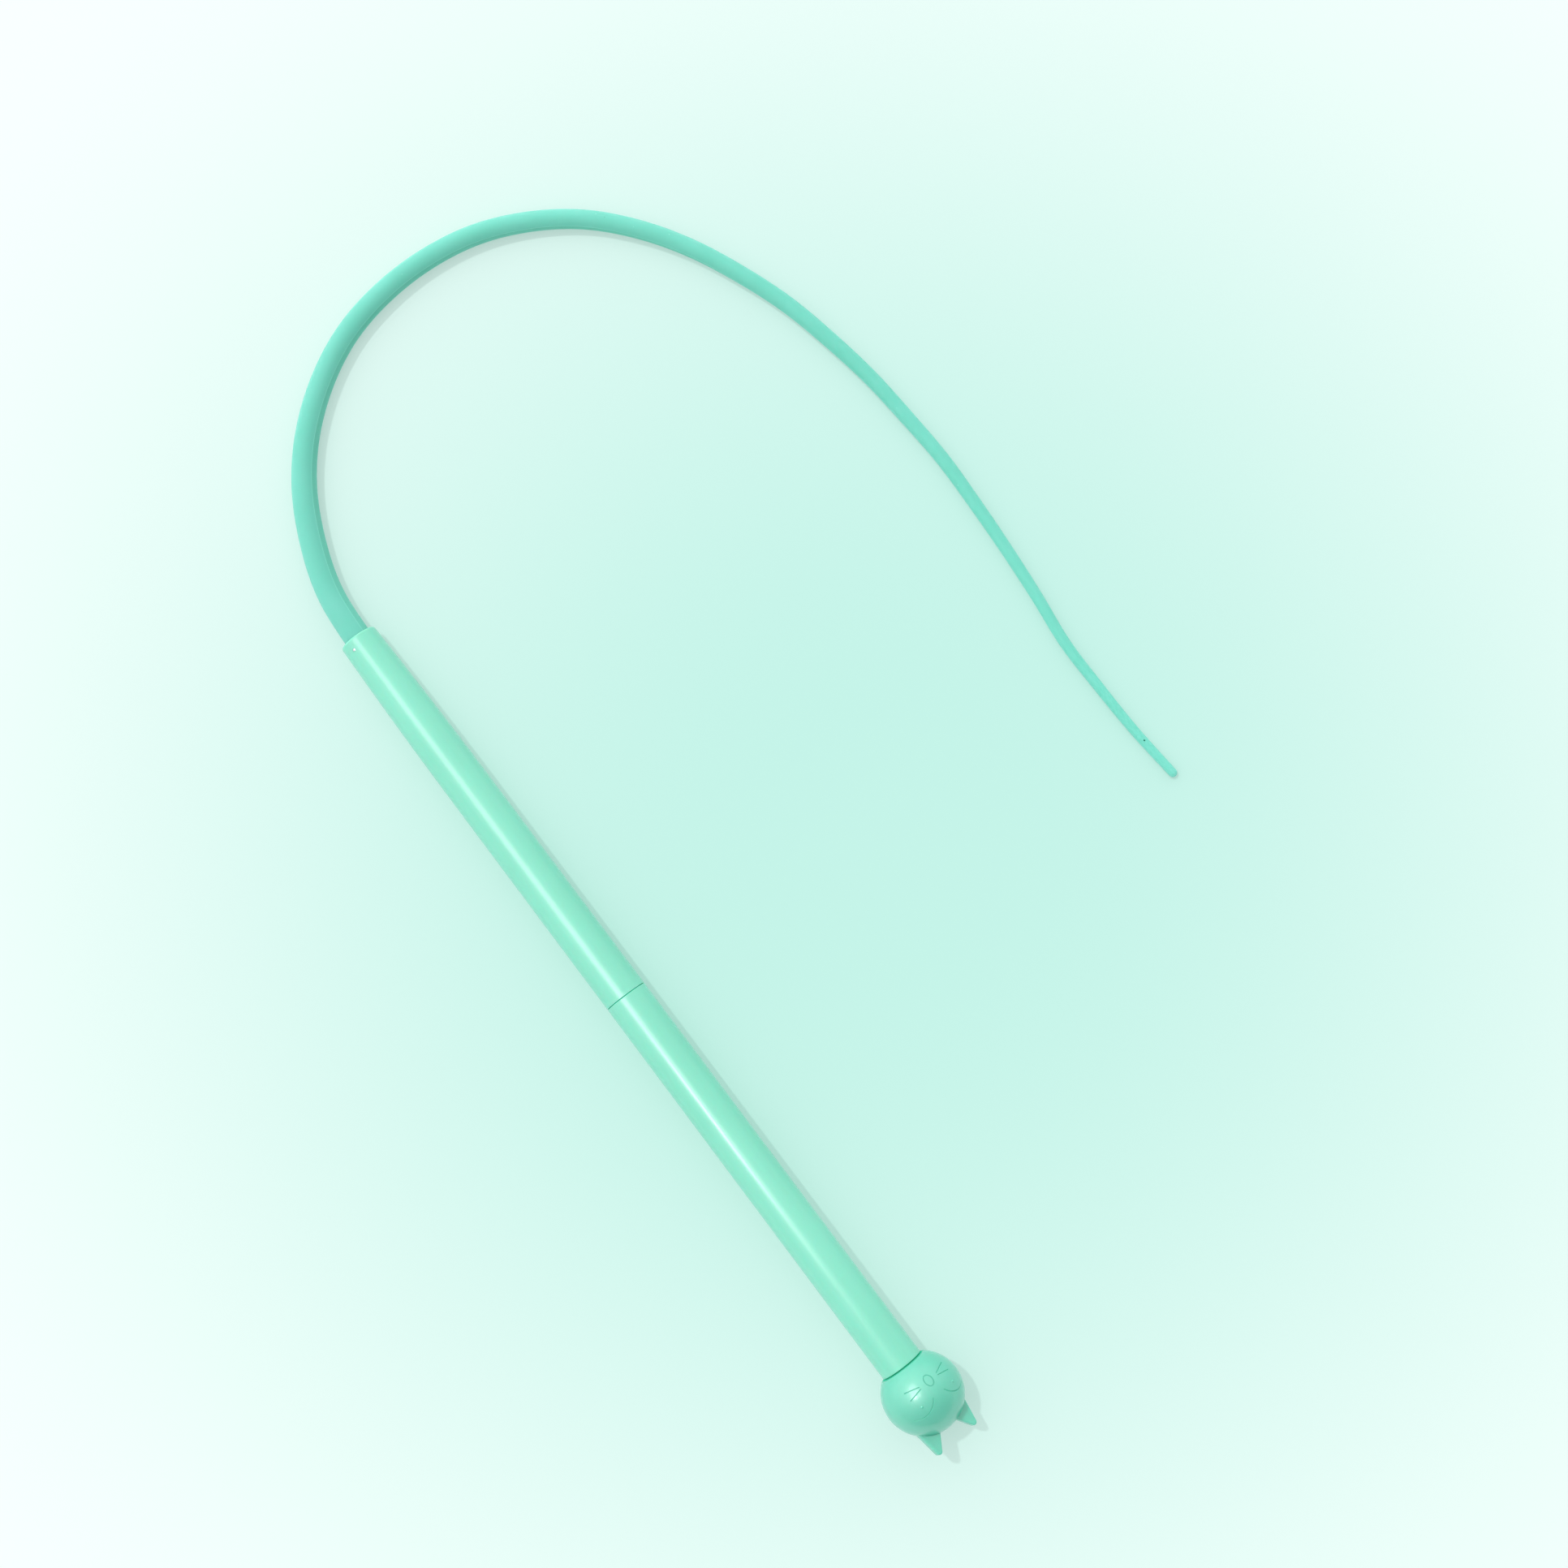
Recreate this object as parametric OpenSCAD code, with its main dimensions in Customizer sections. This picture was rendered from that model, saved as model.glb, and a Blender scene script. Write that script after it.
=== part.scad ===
// Cat teaser wand: a two-section tube handle with a cat's head at its foot and a long soft tail.
// It lies on a table: the head and the rim of the mouth touch it, and so does the whole tail.
// The origin is on the handle's axis, half way along the lower tube, +X runs towards the tail
// and +Z is up. All lengths are in millimetres.

/* [Tubes] */
// Outer diameter of both tubes
tube_d = 14.6; // [13.8:0.1:17]
// Wall of both tubes at their sockets
tube_wall = 1.5; // [1.2:0.1:1.8]
// Length of the lower tube
lower_len = 145; // [110:1:180]
// Length of the upper tube
upper_len = 145; // [120:1:180]
// Gap that shows as a hairline between the tubes
seam_gap = 0.2; // [0.05:0.05:0.3]
// Rounding of the tubes' outer edges at the seams
edge_round = 0.2; // [0.1:0.05:0.4]
// Inner chamfer that leads a plug into a tube
socket_chamfer = 0.4; // [0.2:0.1:0.6]
// Height of the shoulder that stops a plug inside a tube
stop_step = 0.3; // [0.2:0.05:0.6]

/* [Mouth] */
// Length over which the upper tube narrows
nose_len = 60; // [40:1:75]
// Outer diameter at the mouth
mouth_d = 12.8; // [12.6:0.1:13.6]
// Rounding of the mouth's rim
rim_round = 0.6; // [0.3:0.1:0.8]
// Length of the lip that holds the tail
lip_len = 8; // [5:0.5:12]
// Inner chamfer of the lip
lip_chamfer = 0.3; // [0.1:0.05:0.5]

/* [Push fits] */
// Radial clearance of the sleeve and the plug in the tubes
push_gap = 0.04; // [0.02:0.01:0.08]
// How deep the sleeve reaches into each tube
sleeve_grip = 20; // [12:1:30]
// Wall of the sleeve
sleeve_wall = 1.3; // [1:0.1:1.8]
// Chamfer at the sleeve's and the plug's ends
lead_in = 0.8; // [0.4:0.1:1]
// How deep the neck plug reaches into the lower tube
plug_grip = 14; // [10:1:20]
// Wall of the neck plug
plug_wall = 1.4; // [1:0.1:2]

/* [Head] */
// Diameter of the ball
head_d = 26.6; // [24:0.2:30]
// Wall of the ball's two halves
head_wall = 1.6; // [1.2:0.1:1.9]
// Gap that shows as a dark line at the neck
neck_gap = 0.4; // [0.1:0.05:0.5]
// How far the ball's flat stands out past the tube
neck_ledge = 0.9; // [0.4:0.1:1.2]
// Width of the chamfer around the ball's flat
ledge_chamfer = 0.25; // [0.1:0.05:0.4]
// Thickness of the neck wall around the plug
neck_wall = 1.8; // [1.2:0.1:2]
// Thickness of the plug's flange
flange_t = 1.5; // [1:0.1:1.8]
// How far the flange stands out from the plug
flange_step = 1.3; // [0.8:0.1:1.4]
// Thickness of the ring that keeps the flange in
keeper_t = 1.4; // [1:0.1:1.6]
// Clearance around the flange and the plug in the head
pocket_gap = 0.06; // [0.04:0.01:0.1]
// How far the face is turned about the handle, in degrees
face_roll = 23; // [0:1:40]

/* [Dowels inside the head] */
// Diameter of the dowels
dowel_d = 1.6; // [1.2:0.1:2]
// Length of the dowels
dowel_len = 2.4; // [1.5:0.1:3]
// Diameter of the bosses
boss_d = 3.6; // [3:0.1:4.2]
// Distance of the bosses from the cavity's wall at the parting plane
boss_inset = 1.3; // [0.9:0.1:2]
// Clearance of a dowel in its hole
dowel_gap = 0.05; // [0.03:0.01:0.1]

/* [Locating lip of the head] */
// Height of the lip
seat_h = 0.8; // [0.5:0.1:1.2]
// Width of the lip
seat_w = 0.6; // [0.4:0.1:0.7]
// Clearance around the lip
seat_gap = 0.05; // [0.03:0.01:0.1]

/* [Ears] */
// Thickness of an ear
ear_t = 3; // [2:0.1:4]
// Rounding around an ear
ear_edge = 0.5; // [0.2:0.1:0.8]
// Radius of an ear's tip
ear_tip_r = 1.05; // [0.8:0.05:1.4]
// Radius of an ear's buried corners
ear_root_r = 0.6; // [0.4:0.1:0.8]
// How far the tip's centre stands out from the ball
ear_rise = 5.2; // [4:0.05:7]
// How deep the centres of the two buried corners lie in the ball
ear_bury = 1.1; // [0.9:0.05:1.2]
// Angle of the tip from the middle of the head, in degrees
ear_tip_turn = 23.6; // [18:0.2:30]
// Angle of the inner corner, in degrees
ear_in_turn = 16.5; // [12:0.5:22]
// Angle of the outer corner, in degrees
ear_out_turn = 49.6; // [45:0.2:56]

/* [Face] */
// Width of the engraved lines, which are half as deep
line_w = 0.36; // [0.2:0.02:0.6]
// Diameter of the cheek dots
cheek_d = 1; // [0.6:0.1:1.4]
// How far the cheek dots stand out
cheek_h = 0.3; // [0.2:0.05:0.5]
// Length of the nose's oval
snout_len = 3.8; // [3:0.1:5]
// Width of the nose's oval
snout_w = 2.7; // [2:0.1:4]

/* [Tail] */
// Diameter of the tail where it leaves the mouth
root_d = 9; // [8:0.1:9.4]
// Diameter of the tail at its tip
tip_d = 2.9; // [2:0.1:4]
// Clearance between the tail and the lip
tail_gap = 0.05; // [0.03:0.01:0.1]
// Diameter of the anchor behind the lip
anchor_d = 9.9; // [9.6:0.1:10]
// Length of the anchor
anchor_len = 12; // [8:1:20]
// Chamfer of the anchor
anchor_chamfer = 0.6; // [0.3:0.1:1]
// Length over which the bore opens out behind the anchor
throat_len = 10; // [6:1:14]

/* [Tail pin] */
// Diameter of the pin
pin_d = 1; // [0.8:0.1:1.2]
// Length of the pin
pin_len = 11.6; // [10:0.1:12]
// Distance of the pin from the mouth
pin_inset = 3.6; // [2.5:0.1:4.5]
// How far the pin is turned from the top, in degrees
pin_turn = 25; // [0:1:60]
// Clearance of the pin in the tube
pin_gap = 0.03; // [0.02:0.01:0.06]
// Chamfer of the pin's ends
pin_chamfer = 0.12; // [0.05:0.01:0.2]

/* [Hidden] */

// Cuts run past a face by this much.
over = 1;
$fn = 96;

tube_r = tube_d / 2;
mouth_r = mouth_d / 2;
socket_r = tube_r - tube_wall;
core_r = socket_r - stop_step;
head_r = head_d / 2;
cavity_r = head_r - head_wall;
root_r = root_d / 2;
anchor_r = anchor_d / 2;

// Places along the handle's axis, from the middle of the lower tube.
neck_x = -lower_len / 2;
seam_x = lower_len / 2;
upper_x = seam_x + seam_gap;
mouth_x = upper_x + upper_len;
lip_x = mouth_x - lip_len;
anchor_x = lip_x - anchor_len;
throat_x = anchor_x - throat_len;
nose_x = mouth_x - nose_len;
// The ball is cut off flat where it is a ledge wider than the tube.
flat_r = tube_r + neck_ledge;
cut_x = sqrt(head_r * head_r - flat_r * flat_r);
head_x = neck_x - neck_gap - cut_x;

// The handle lies on the ball and on the rim of the mouth, so it leans by this angle.
lean = asin((head_r - mouth_r) / (mouth_x - head_x));
floor_z = -head_x * sin(lean) - head_r;

// Tail: the places of its centreline in plan, from the mouth, a step of about 18 apart.
tail_route = [
    [0, 0], [18, -1.5], [35, -7], [51, -15.5], [64.5, -27], [75.5, -41.5], [83, -57.5], [86.5, -75],
    [86.5, -93], [83, -110.5], [75.5, -127], [65, -141.5], [51.5, -153.5], [36.5, -163], [20, -170.5],
    [3, -176.5], [-14.5, -180.5], [-32.5, -183.5], [-50, -185], [-68, -186], [-86, -185.5], [-104, -184.5],
    [-122, -183], [-140, -181], [-158, -181], [-176, -181.5], [-194, -183]
];
// How much of the mouth's height the first places still have.
drop_shares = [1, 0.4, 0.06];
// The tail's sides and the rings in each step of its route.
tail_sides = 12;
step_rings = 2;
// Rings that round the tip, as angles.
tip_angles = [30, 60, 80];

// Turns a profile of [radius, place along the handle] about the handle's axis.
module turned() {
    rotate([0, 90, 0]) rotate_extrude() children();
}

// Takes a piece from the handle's own axes to the way that the handle lies.
module laid() {
    rotate([0, lean, 0]) children();
}

// Takes a piece from the head's own axes to the handle's: the face looks along +Z of the head,
// its ears point along -X.
module on_head() {
    translate([head_x, 0, 0]) rotate([face_roll, 0, 0]) children();
}

// Outer radius of the upper tube's nose, s from 0 where it starts to 1 at the mouth.
function nose_r(s) = tube_r - (tube_r - mouth_r) * s * s;

// The nose's radius at a distance from the mouth.
function nose_r_at(inset) = nose_r(1 - inset / nose_len);

module upper_tube_profile() {
    nose_steps = 12;
    socket_end = upper_x + sleeve_grip;
    rim_share = 1 - rim_round / nose_len;
    difference() {
        union() {
            polygon(concat(
                [[0, upper_x + edge_round], [tube_r, upper_x + edge_round]],
                [for (k = [0:nose_steps]) let (s = rim_share * k / nose_steps)
                    [nose_r(s), nose_x + nose_len * s]],
                [[nose_r(rim_share) - rim_round, mouth_x], [0, mouth_x]]
            ));
            translate([nose_r(rim_share) - rim_round, mouth_x - rim_round]) circle(rim_round);
            translate([0, upper_x]) square([tube_r - edge_round, edge_round + over]);
            translate([tube_r - edge_round, upper_x + edge_round]) circle(edge_round);
        }
        polygon([
            [-over, upper_x - over], [socket_r + socket_chamfer, upper_x - over],
            [socket_r + socket_chamfer, upper_x], [socket_r, upper_x + socket_chamfer],
            [socket_r, socket_end], [core_r, socket_end], [core_r, throat_x],
            [anchor_r + tail_gap, anchor_x], [anchor_r + tail_gap, lip_x],
            [root_r + tail_gap, lip_x], [root_r + tail_gap, mouth_x - lip_chamfer],
            [root_r + tail_gap + lip_chamfer, mouth_x], [root_r + tail_gap + lip_chamfer, mouth_x + over],
            [-over, mouth_x + over]
        ]);
    }
}

// Places a piece across the mouth, along the pin.
module across_mouth() {
    translate([mouth_x - pin_inset, 0, 0]) rotate([-pin_turn, 0, 0])
        translate([0, 0, nose_r_at(pin_inset) - pin_len]) children();
}

module upper_tube() {
    color("#93e6c9") laid() difference() {
        turned() upper_tube_profile();
        across_mouth() translate([0, 0, -pin_gap]) cylinder(r = pin_d / 2 + pin_gap, h = pin_len + over);
    }
}

module tail_pin() {
    color("#eef4f1") laid() across_mouth() union() {
        cylinder(r1 = pin_d / 2 - pin_chamfer, r2 = pin_d / 2, h = pin_chamfer);
        translate([0, 0, pin_chamfer]) cylinder(d = pin_d, h = pin_len - 2 * pin_chamfer);
        translate([0, 0, pin_len - pin_chamfer])
            cylinder(r1 = pin_d / 2, r2 = pin_d / 2 - pin_chamfer, h = pin_chamfer);
    }
}

module lower_tube_profile() {
    foot_stop = neck_x + plug_grip;
    joint_stop = seam_x - sleeve_grip;
    difference() {
        union() {
            translate([0, neck_x]) square([tube_r - edge_round, lower_len]);
            translate([0, neck_x + edge_round]) square([tube_r, lower_len - 2 * edge_round]);
            for (x = [neck_x + edge_round, seam_x - edge_round])
                translate([tube_r - edge_round, x]) circle(edge_round);
        }
        polygon([
            [-over, neck_x - over], [socket_r + socket_chamfer, neck_x - over],
            [socket_r + socket_chamfer, neck_x], [socket_r, neck_x + socket_chamfer],
            [socket_r, foot_stop], [core_r, foot_stop], [core_r, joint_stop], [socket_r, joint_stop],
            [socket_r, seam_x - socket_chamfer], [socket_r + socket_chamfer, seam_x],
            [socket_r + socket_chamfer, seam_x + over], [-over, seam_x + over]
        ]);
    }
}

module lower_tube() {
    color("#93e6c9") laid() turned() lower_tube_profile();
}

// The sleeve fills the socket of the lower tube and stops short of the upper one's shoulder.
module joint_sleeve() {
    outer = socket_r - push_gap;
    inner = outer - sleeve_wall;
    start = seam_x - sleeve_grip;
    end = upper_x + sleeve_grip - push_gap;
    color("#7fd8ba") laid() turned() polygon([
        [inner + lead_in / 2, start], [outer - lead_in / 2, start], [outer, start + lead_in],
        [outer, end - lead_in], [outer - lead_in / 2, end], [inner + lead_in / 2, end],
        [inner, end - lead_in], [inner, start + lead_in]
    ]);
}

// The flange's place, from the ball's centre.
flange_x = cut_x - neck_wall - pocket_gap - flange_t;
keeper_x = flange_x - pocket_gap - keeper_t;
plug_r = socket_r - push_gap;
flange_r = plug_r + flange_step;
spigot_r = plug_r - plug_wall;

// A plug that is hollow from the tube's side, with the flange that the head closes around and a
// round end that stands in the keeper ring.
module neck_plug() {
    start = head_x + keeper_x;
    flange_start = head_x + flange_x;
    end = neck_x + plug_grip - push_gap;
    color("#7fd8ba") laid() turned() polygon([
        [0, start], [spigot_r - pocket_gap, start], [spigot_r - pocket_gap, flange_start],
        [flange_r, flange_start], [flange_r, flange_start + flange_t], [plug_r, flange_start + flange_t],
        [plug_r, end - lead_in], [plug_r - lead_in / 2, end], [spigot_r, end],
        [spigot_r, flange_start + flange_t], [0, flange_start + flange_t]
    ]);
}

module ear(side) {
    // One corner of the ear: a disc with round rims, half its thickness above and below.
    module corner(turn, distance, r) {
        rotate([0, 0, -side * turn]) translate([-distance, 0, 0]) for (a = [0, 45, 90])
            cylinder(
                r = max(r - ear_edge * (1 - cos(a)), r / 4), h = ear_t - 2 * ear_edge * (1 - sin(a)),
                center = true, $fn = 24
            );
    }
    hull() {
        corner(ear_tip_turn, head_r + ear_rise, ear_tip_r);
        corner(ear_in_turn, head_r - ear_bury, ear_root_r);
        corner(ear_out_turn, head_r - ear_bury, ear_root_r);
    }
}

// A ball with its poles on the handle's axis.
module ball(r) {
    rotate([0, 90, 0]) sphere(r);
}

// Places of the three bosses, from the ball's centre.
boss_ring = cavity_r - boss_inset - boss_d / 2;
boss_places = [[-boss_ring, 0], [0, boss_ring], [0, -boss_ring]];

// What the ball is cut to at the neck: a flat with a steep chamfer around it.
module flat_profile() {
    steepness = 3;
    polygon([
        [0, -head_r - over], [head_r + over, -head_r - over],
        [head_r + over, cut_x - (head_r + over - flat_r + ledge_chamfer) / steepness],
        [flat_r - ledge_chamfer, cut_x], [0, cut_x]
    ]);
}

// Everything that both halves share: the ball with its ears, hollow, with the neck's pocket.
module head_shell() {
    difference() {
        union() {
            difference() {
                union() {
                    intersection() {
                        ball(head_r);
                        turned() flat_profile();
                    }
                    for (side = [-1, 1]) ear(side);
                }
                intersection() {
                    ball(cavity_r);
                    translate([-head_r - over, -head_r - over, -head_r - over])
                        cube([head_r + over + keeper_x, 2 * (head_r + over), 2 * (head_r + over)]);
                }
            }
            intersection() {
                ball((cavity_r + head_r) / 2);
                for (p = boss_places)
                    translate([p.x, p.y, -head_r]) cylinder(d = boss_d, h = 2 * head_r);
            }
        }
        turned() polygon([
            [0, keeper_x - over], [spigot_r, keeper_x - over], [spigot_r, flange_x - pocket_gap],
            [flange_r + pocket_gap, flange_x - pocket_gap],
            [flange_r + pocket_gap, flange_x + flange_t + pocket_gap],
            [plug_r + pocket_gap, flange_x + flange_t + pocket_gap],
            [plug_r + pocket_gap, cut_x + over], [0, cut_x + over]
        ]);
    }
}

// Keeps the half of the head on one side of the parting plane: 1 is the face, -1 the back.
module half(side) {
    intersection() {
        children();
        translate([-2 * head_d, -head_d, side > 0 ? 0 : -2 * head_d]) cube(2 * [2 * head_d, head_d, head_d]);
    }
}

// The rim on the face half that drops into the back half, open at the neck. With a gap it is the
// groove for that rim, which rises past the parting plane.
module seat(gap, rise) {
    bottom = -seat_h - gap;
    open_x = keeper_x - neck_wall + gap;
    difference() {
        translate([0, 0, bottom]) cylinder(r = cavity_r + seat_w + gap, h = rise - bottom);
        translate([0, 0, bottom - over]) cylinder(r = cavity_r - gap, h = rise - bottom + 2 * over);
        translate([open_x, -head_r, bottom - over])
            cube([head_r, 2 * head_r, rise - bottom + 2 * over]);
    }
}

function direction(lon, lat) = [-sin(lat), cos(lat) * sin(lon), cos(lat) * cos(lon)];
function unit(v) = v / norm(v);

// Places a shape by three axes of length 1.
module along(x, y, z) {
    multmatrix([[x.x, y.x, z.x, 0], [x.y, y.y, z.y, 0], [x.z, y.z, z.z, 0], [0, 0, 0, 1]]) children();
}

// A groove around a point of the face, at an angle from it, between two bearings. A bearing is
// measured from the neck's side towards +Y of the head.
module round_line(lon, lat, radius, from, to) {
    rotate([-lon, 0, 0]) rotate([0, -lat, 0]) rotate([0, 0, from])
        rotate_extrude(angle = to - from)
            translate([head_r * sin(radius), head_r * cos(radius)]) circle(d = line_w, $fn = 24);
}

// A groove straight across the face between two places, given as longitude and latitude.
module straight_line(a, b) {
    p = direction(a[0], a[1]);
    q = direction(b[0], b[1]);
    n = unit(cross(p, q));
    along(p, cross(n, p), n) rotate_extrude(angle = acos(p * q))
        translate([head_r, 0]) circle(d = line_w, $fn = 24);
}

// Closed eye: a bow around [longitude, latitude, angle from there, first and last bearing].
eye_bow = [35.4, -9.1, 29.7, 147, 241];
// Whiskers, each from its inner to its outer end.
whiskers = [[[15.8, -13.2], [37.2, -8.5]], [[16.2, -16.4], [39.8, -21.4]]];
cheek_place = [29.6, 6.5];
// Latitude of the nose's middle.
snout_lat = -15.8;

// The nose's groove: an oval line of even width, as deep as the other lines.
module snout_line() {
    rotate([0, -snout_lat, 0]) difference() {
        linear_extrude(head_r + over) difference() {
            scale([snout_len + line_w, snout_w + line_w]) circle(d = 1, $fn = 48);
            scale([snout_len - line_w, snout_w - line_w]) circle(d = 1, $fn = 48);
        }
        ball(head_r - line_w / 2);
    }
}

module face_lines() {
    for (side = [0, 1]) mirror([0, side, 0]) {
        round_line(eye_bow[0], eye_bow[1], eye_bow[2], eye_bow[3], eye_bow[4]);
        for (w = whiskers) straight_line(w[0], w[1]);
    }
    snout_line();
}

module cheeks() {
    for (side = [-1, 1])
        translate(direction(side * cheek_place[0], cheek_place[1]) * (head_r + cheek_h - cheek_d / 2))
            sphere(d = cheek_d, $fn = 32);
}

module head_front() {
    color("#7edcbf") laid() on_head() difference() {
        union() {
            half(1) head_shell();
            seat(0, 0);
            cheeks();
        }
        face_lines();
        for (p = boss_places)
            translate([p.x, p.y, -over]) cylinder(d = dowel_d + 2 * dowel_gap, h = dowel_len + dowel_gap + over);
    }
}

module head_back() {
    color("#7edcbf") laid() on_head() union() {
        difference() {
            half(-1) head_shell();
            seat(seat_gap, over);
        }
        for (p = boss_places)
            translate([p.x, p.y, -over]) cylinder(d = dowel_d, h = dowel_len + over);
    }
}

// A place on the handle's axis, as the handle lies.
function axis_point(x) = [x * cos(lean), 0, -x * sin(lean)];

last_place = len(tail_route) - 1;
// Radius of the tail at a share of its free length.
function tail_r(share) = root_r + (tip_d / 2 - root_r) * share;
// How high the mouth holds the tail above the way it lies on the table.
mouth_lift = -mouth_x * sin(lean) - floor_z - root_r;
// The places of the free tail, laid on the table.
free_places = [for (i = [0:last_place]) let (share = i / last_place)
    [axis_point(mouth_x).x + tail_route[i].x, tail_route[i].y,
     floor_z + tail_r(share) + mouth_lift * (i < len(drop_shares) ? drop_shares[i] : 0)]];

// The curve through four places, t from 0 at the second to 1 at the third.
function through(a, b, c, d, t) =
    (2 * b + (c - a) * t + (2 * a - 5 * b + 4 * c - d) * t * t + (3 * b - a - 3 * c + d) * t * t * t) / 2;

// The place before the mouth lies on the axis, so that the tail comes straight out.
function place(i) = i < 0 ? axis_point(mouth_x - norm(free_places[1] - free_places[0])) :
    i > last_place ? 2 * free_places[last_place] - free_places[last_place - 1] : free_places[i];

free_rings = [for (i = [0:last_place - 1]) for (k = [1:step_rings]) let (t = k / step_rings)
    [through(place(i - 1), place(i), place(i + 1), place(i + 2), t), tail_r((i + t) / last_place)]];

// The rings of the anchor and of the stretch that the lip holds.
root_rings = [
    [axis_point(anchor_x), anchor_r - anchor_chamfer],
    [axis_point(anchor_x + anchor_chamfer), anchor_r],
    [axis_point(lip_x - anchor_chamfer), anchor_r],
    [axis_point(lip_x), root_r],
    [axis_point(mouth_x), root_r]
];

tip_place = free_places[last_place];
tip_way = unit(place(last_place + 1) - tip_place);
tip_rings = [for (a = tip_angles) [tip_place + tip_way * tip_d / 2 * sin(a), tip_d / 2 * cos(a)]];

tail_rings = concat(root_rings, free_rings, tip_rings);

// The points of the ring at a place, square to the way from the ring before to the ring after.
function ring_points(i) =
    let (last = len(tail_rings) - 1, way = unit(tail_rings[min(i + 1, last)][0] - tail_rings[max(i - 1, 0)][0]),
         side = unit(cross([0, 0, 1], way)), up = cross(way, side))
    [for (k = [0:tail_sides - 1]) let (a = 360 * k / tail_sides)
        tail_rings[i][0] + tail_rings[i][1] * (cos(a) * side + sin(a) * up)];

module tail() {
    n = tail_sides;
    last = len(tail_rings) - 1;
    points = concat(
        [for (i = [0:last]) each ring_points(i)],
        [tail_rings[0][0], tip_place + tip_way * tip_d / 2]
    );
    start = n * (last + 1);
    skin = [for (i = [0:last - 1]) for (k = [0:n - 1]) let (a = i * n + k, b = i * n + (k + 1) % n)
        each [[a, b, b + n], [a, b + n, a + n]]];
    ends = [for (k = [0:n - 1]) each [[start, (k + 1) % n, k], [start + 1, last * n + k, last * n + (k + 1) % n]]];
    color("#76dcc4") polyhedron(points, concat(skin, ends));
}

upper_tube();
tail();
tail_pin();
joint_sleeve();
lower_tube();
neck_plug();
head_front();
head_back();
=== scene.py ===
"""Cat teaser wand, dressed for a studio picture.

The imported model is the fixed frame. The tail, the tail pin and the studio are made here; the tubes,
the sleeve, the plug and the cat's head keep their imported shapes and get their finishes. All lengths
are in metres, in the frame's own axes: the origin is on the handle's axis, half way along the lower
tube, +X runs towards the tail and +Z is up from the floor that the wand lies on.
"""

from __future__ import annotations

import logging
import math
from collections.abc import Callable, Sequence
from dataclasses import dataclass, field
from enum import Enum
from typing import Any

import bmesh
import bpy
from mathutils import Matrix, Vector


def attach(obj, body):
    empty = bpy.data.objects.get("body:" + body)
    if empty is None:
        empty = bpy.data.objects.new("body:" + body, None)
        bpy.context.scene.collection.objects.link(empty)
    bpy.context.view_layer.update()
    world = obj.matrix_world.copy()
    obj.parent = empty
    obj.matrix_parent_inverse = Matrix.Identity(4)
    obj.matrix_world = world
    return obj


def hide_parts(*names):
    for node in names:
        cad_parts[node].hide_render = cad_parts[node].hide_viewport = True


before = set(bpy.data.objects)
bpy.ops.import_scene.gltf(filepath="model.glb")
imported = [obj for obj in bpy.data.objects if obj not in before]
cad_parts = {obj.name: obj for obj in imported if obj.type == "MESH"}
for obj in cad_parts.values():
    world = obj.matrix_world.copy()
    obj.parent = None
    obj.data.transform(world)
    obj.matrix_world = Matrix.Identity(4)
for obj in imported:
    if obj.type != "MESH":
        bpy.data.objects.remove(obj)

LOG = logging.getLogger("cat_teaser_wand")
# Where two faces meet at a wider angle, the edge between them looks sharp.
SHARP_ANGLE = math.radians(35)
Colour = tuple[float, float, float]
Place = tuple[float, float, float]
# Each point of a swept tube with the number of its ring and of its side.
Numbers = dict[bmesh.types.BMVert, tuple[int, int]]
BLACK: Colour = (0.0, 0.0, 0.0)


class Body(Enum):
    """The bodies that pieces ride on."""

    LOWER = "lower"
    FRONT = "front"
    HEAD = "head"


class Slot(Enum):
    """Names of material slots; no piece here takes its finish from them."""

    TUBE = "tube_plastic"
    HEAD = "head_plastic"
    TAIL = "tail_silicone"
    INNER = "inner_plastic"
    PIN = "pin_steel"


def srgb(red: int, green: int, blue: int) -> Colour:
    """Turns a screen colour into the linear one that shaders take.

    Args:
        red: Red from 0 to 255.
        green: Green from 0 to 255.
        blue: Blue from 0 to 255.

    Returns:
        The linear colour.
    """

    def linear(value: int) -> float:
        """Turns one channel into linear light."""
        share = value / 255
        return share / 12.92 if share <= 0.04045 else ((share + 0.055) / 1.055) ** 2.4

    return linear(red), linear(green), linear(blue)


def between(value: float, places: Sequence[float], heights: Sequence[float]) -> float:
    """Reads a line of points at a place, easing from each point to the next.

    Args:
        value: Where to read it.
        places: The points' places, rising.
        heights: The points' heights.

    Returns:
        The height there; past either end, that end's height.
    """
    for low, high, start, end in zip(places, places[1:], heights, heights[1:]):
        if value <= high:
            share = min(max((value - low) / (high - low), 0.0), 1.0)
            return start + (end - start) * share * share * (3 - 2 * share)
    return heights[-1]


def curve(places: Sequence[Vector], share: float) -> Vector:
    """Gives a place on the smooth curve through four places, between the middle two.

    Args:
        places: The four places.
        share: How far it is on the way from the second to the third.

    Returns:
        The place.
    """
    a, b, c, d = places
    return (
        2 * b
        + (c - a) * share
        + (2 * a - 5 * b + 4 * c - d) * share**2
        + (3 * b - a - 3 * c + d) * share**3
    ) / 2


@dataclass(frozen=True)
class Mottle:
    """A soft random pattern on a finish, and how it shows.

    Attributes:
        width: The width of its blots.
        detail: How many finer layers it has.
        fine: How strong the finer layers are.
        levels: The levels at which it starts to show and shows fully; None keeps every level.
        tint: How much of its colour shows.
        rough: How much more light it scatters.
        depth: How deep its relief is.
    """

    width: float
    detail: float = 2.0
    fine: float = 0.5
    levels: tuple[float, float] | None = None
    tint: float = 0.0
    rough: float = 0.0
    depth: float = 0.0


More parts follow.
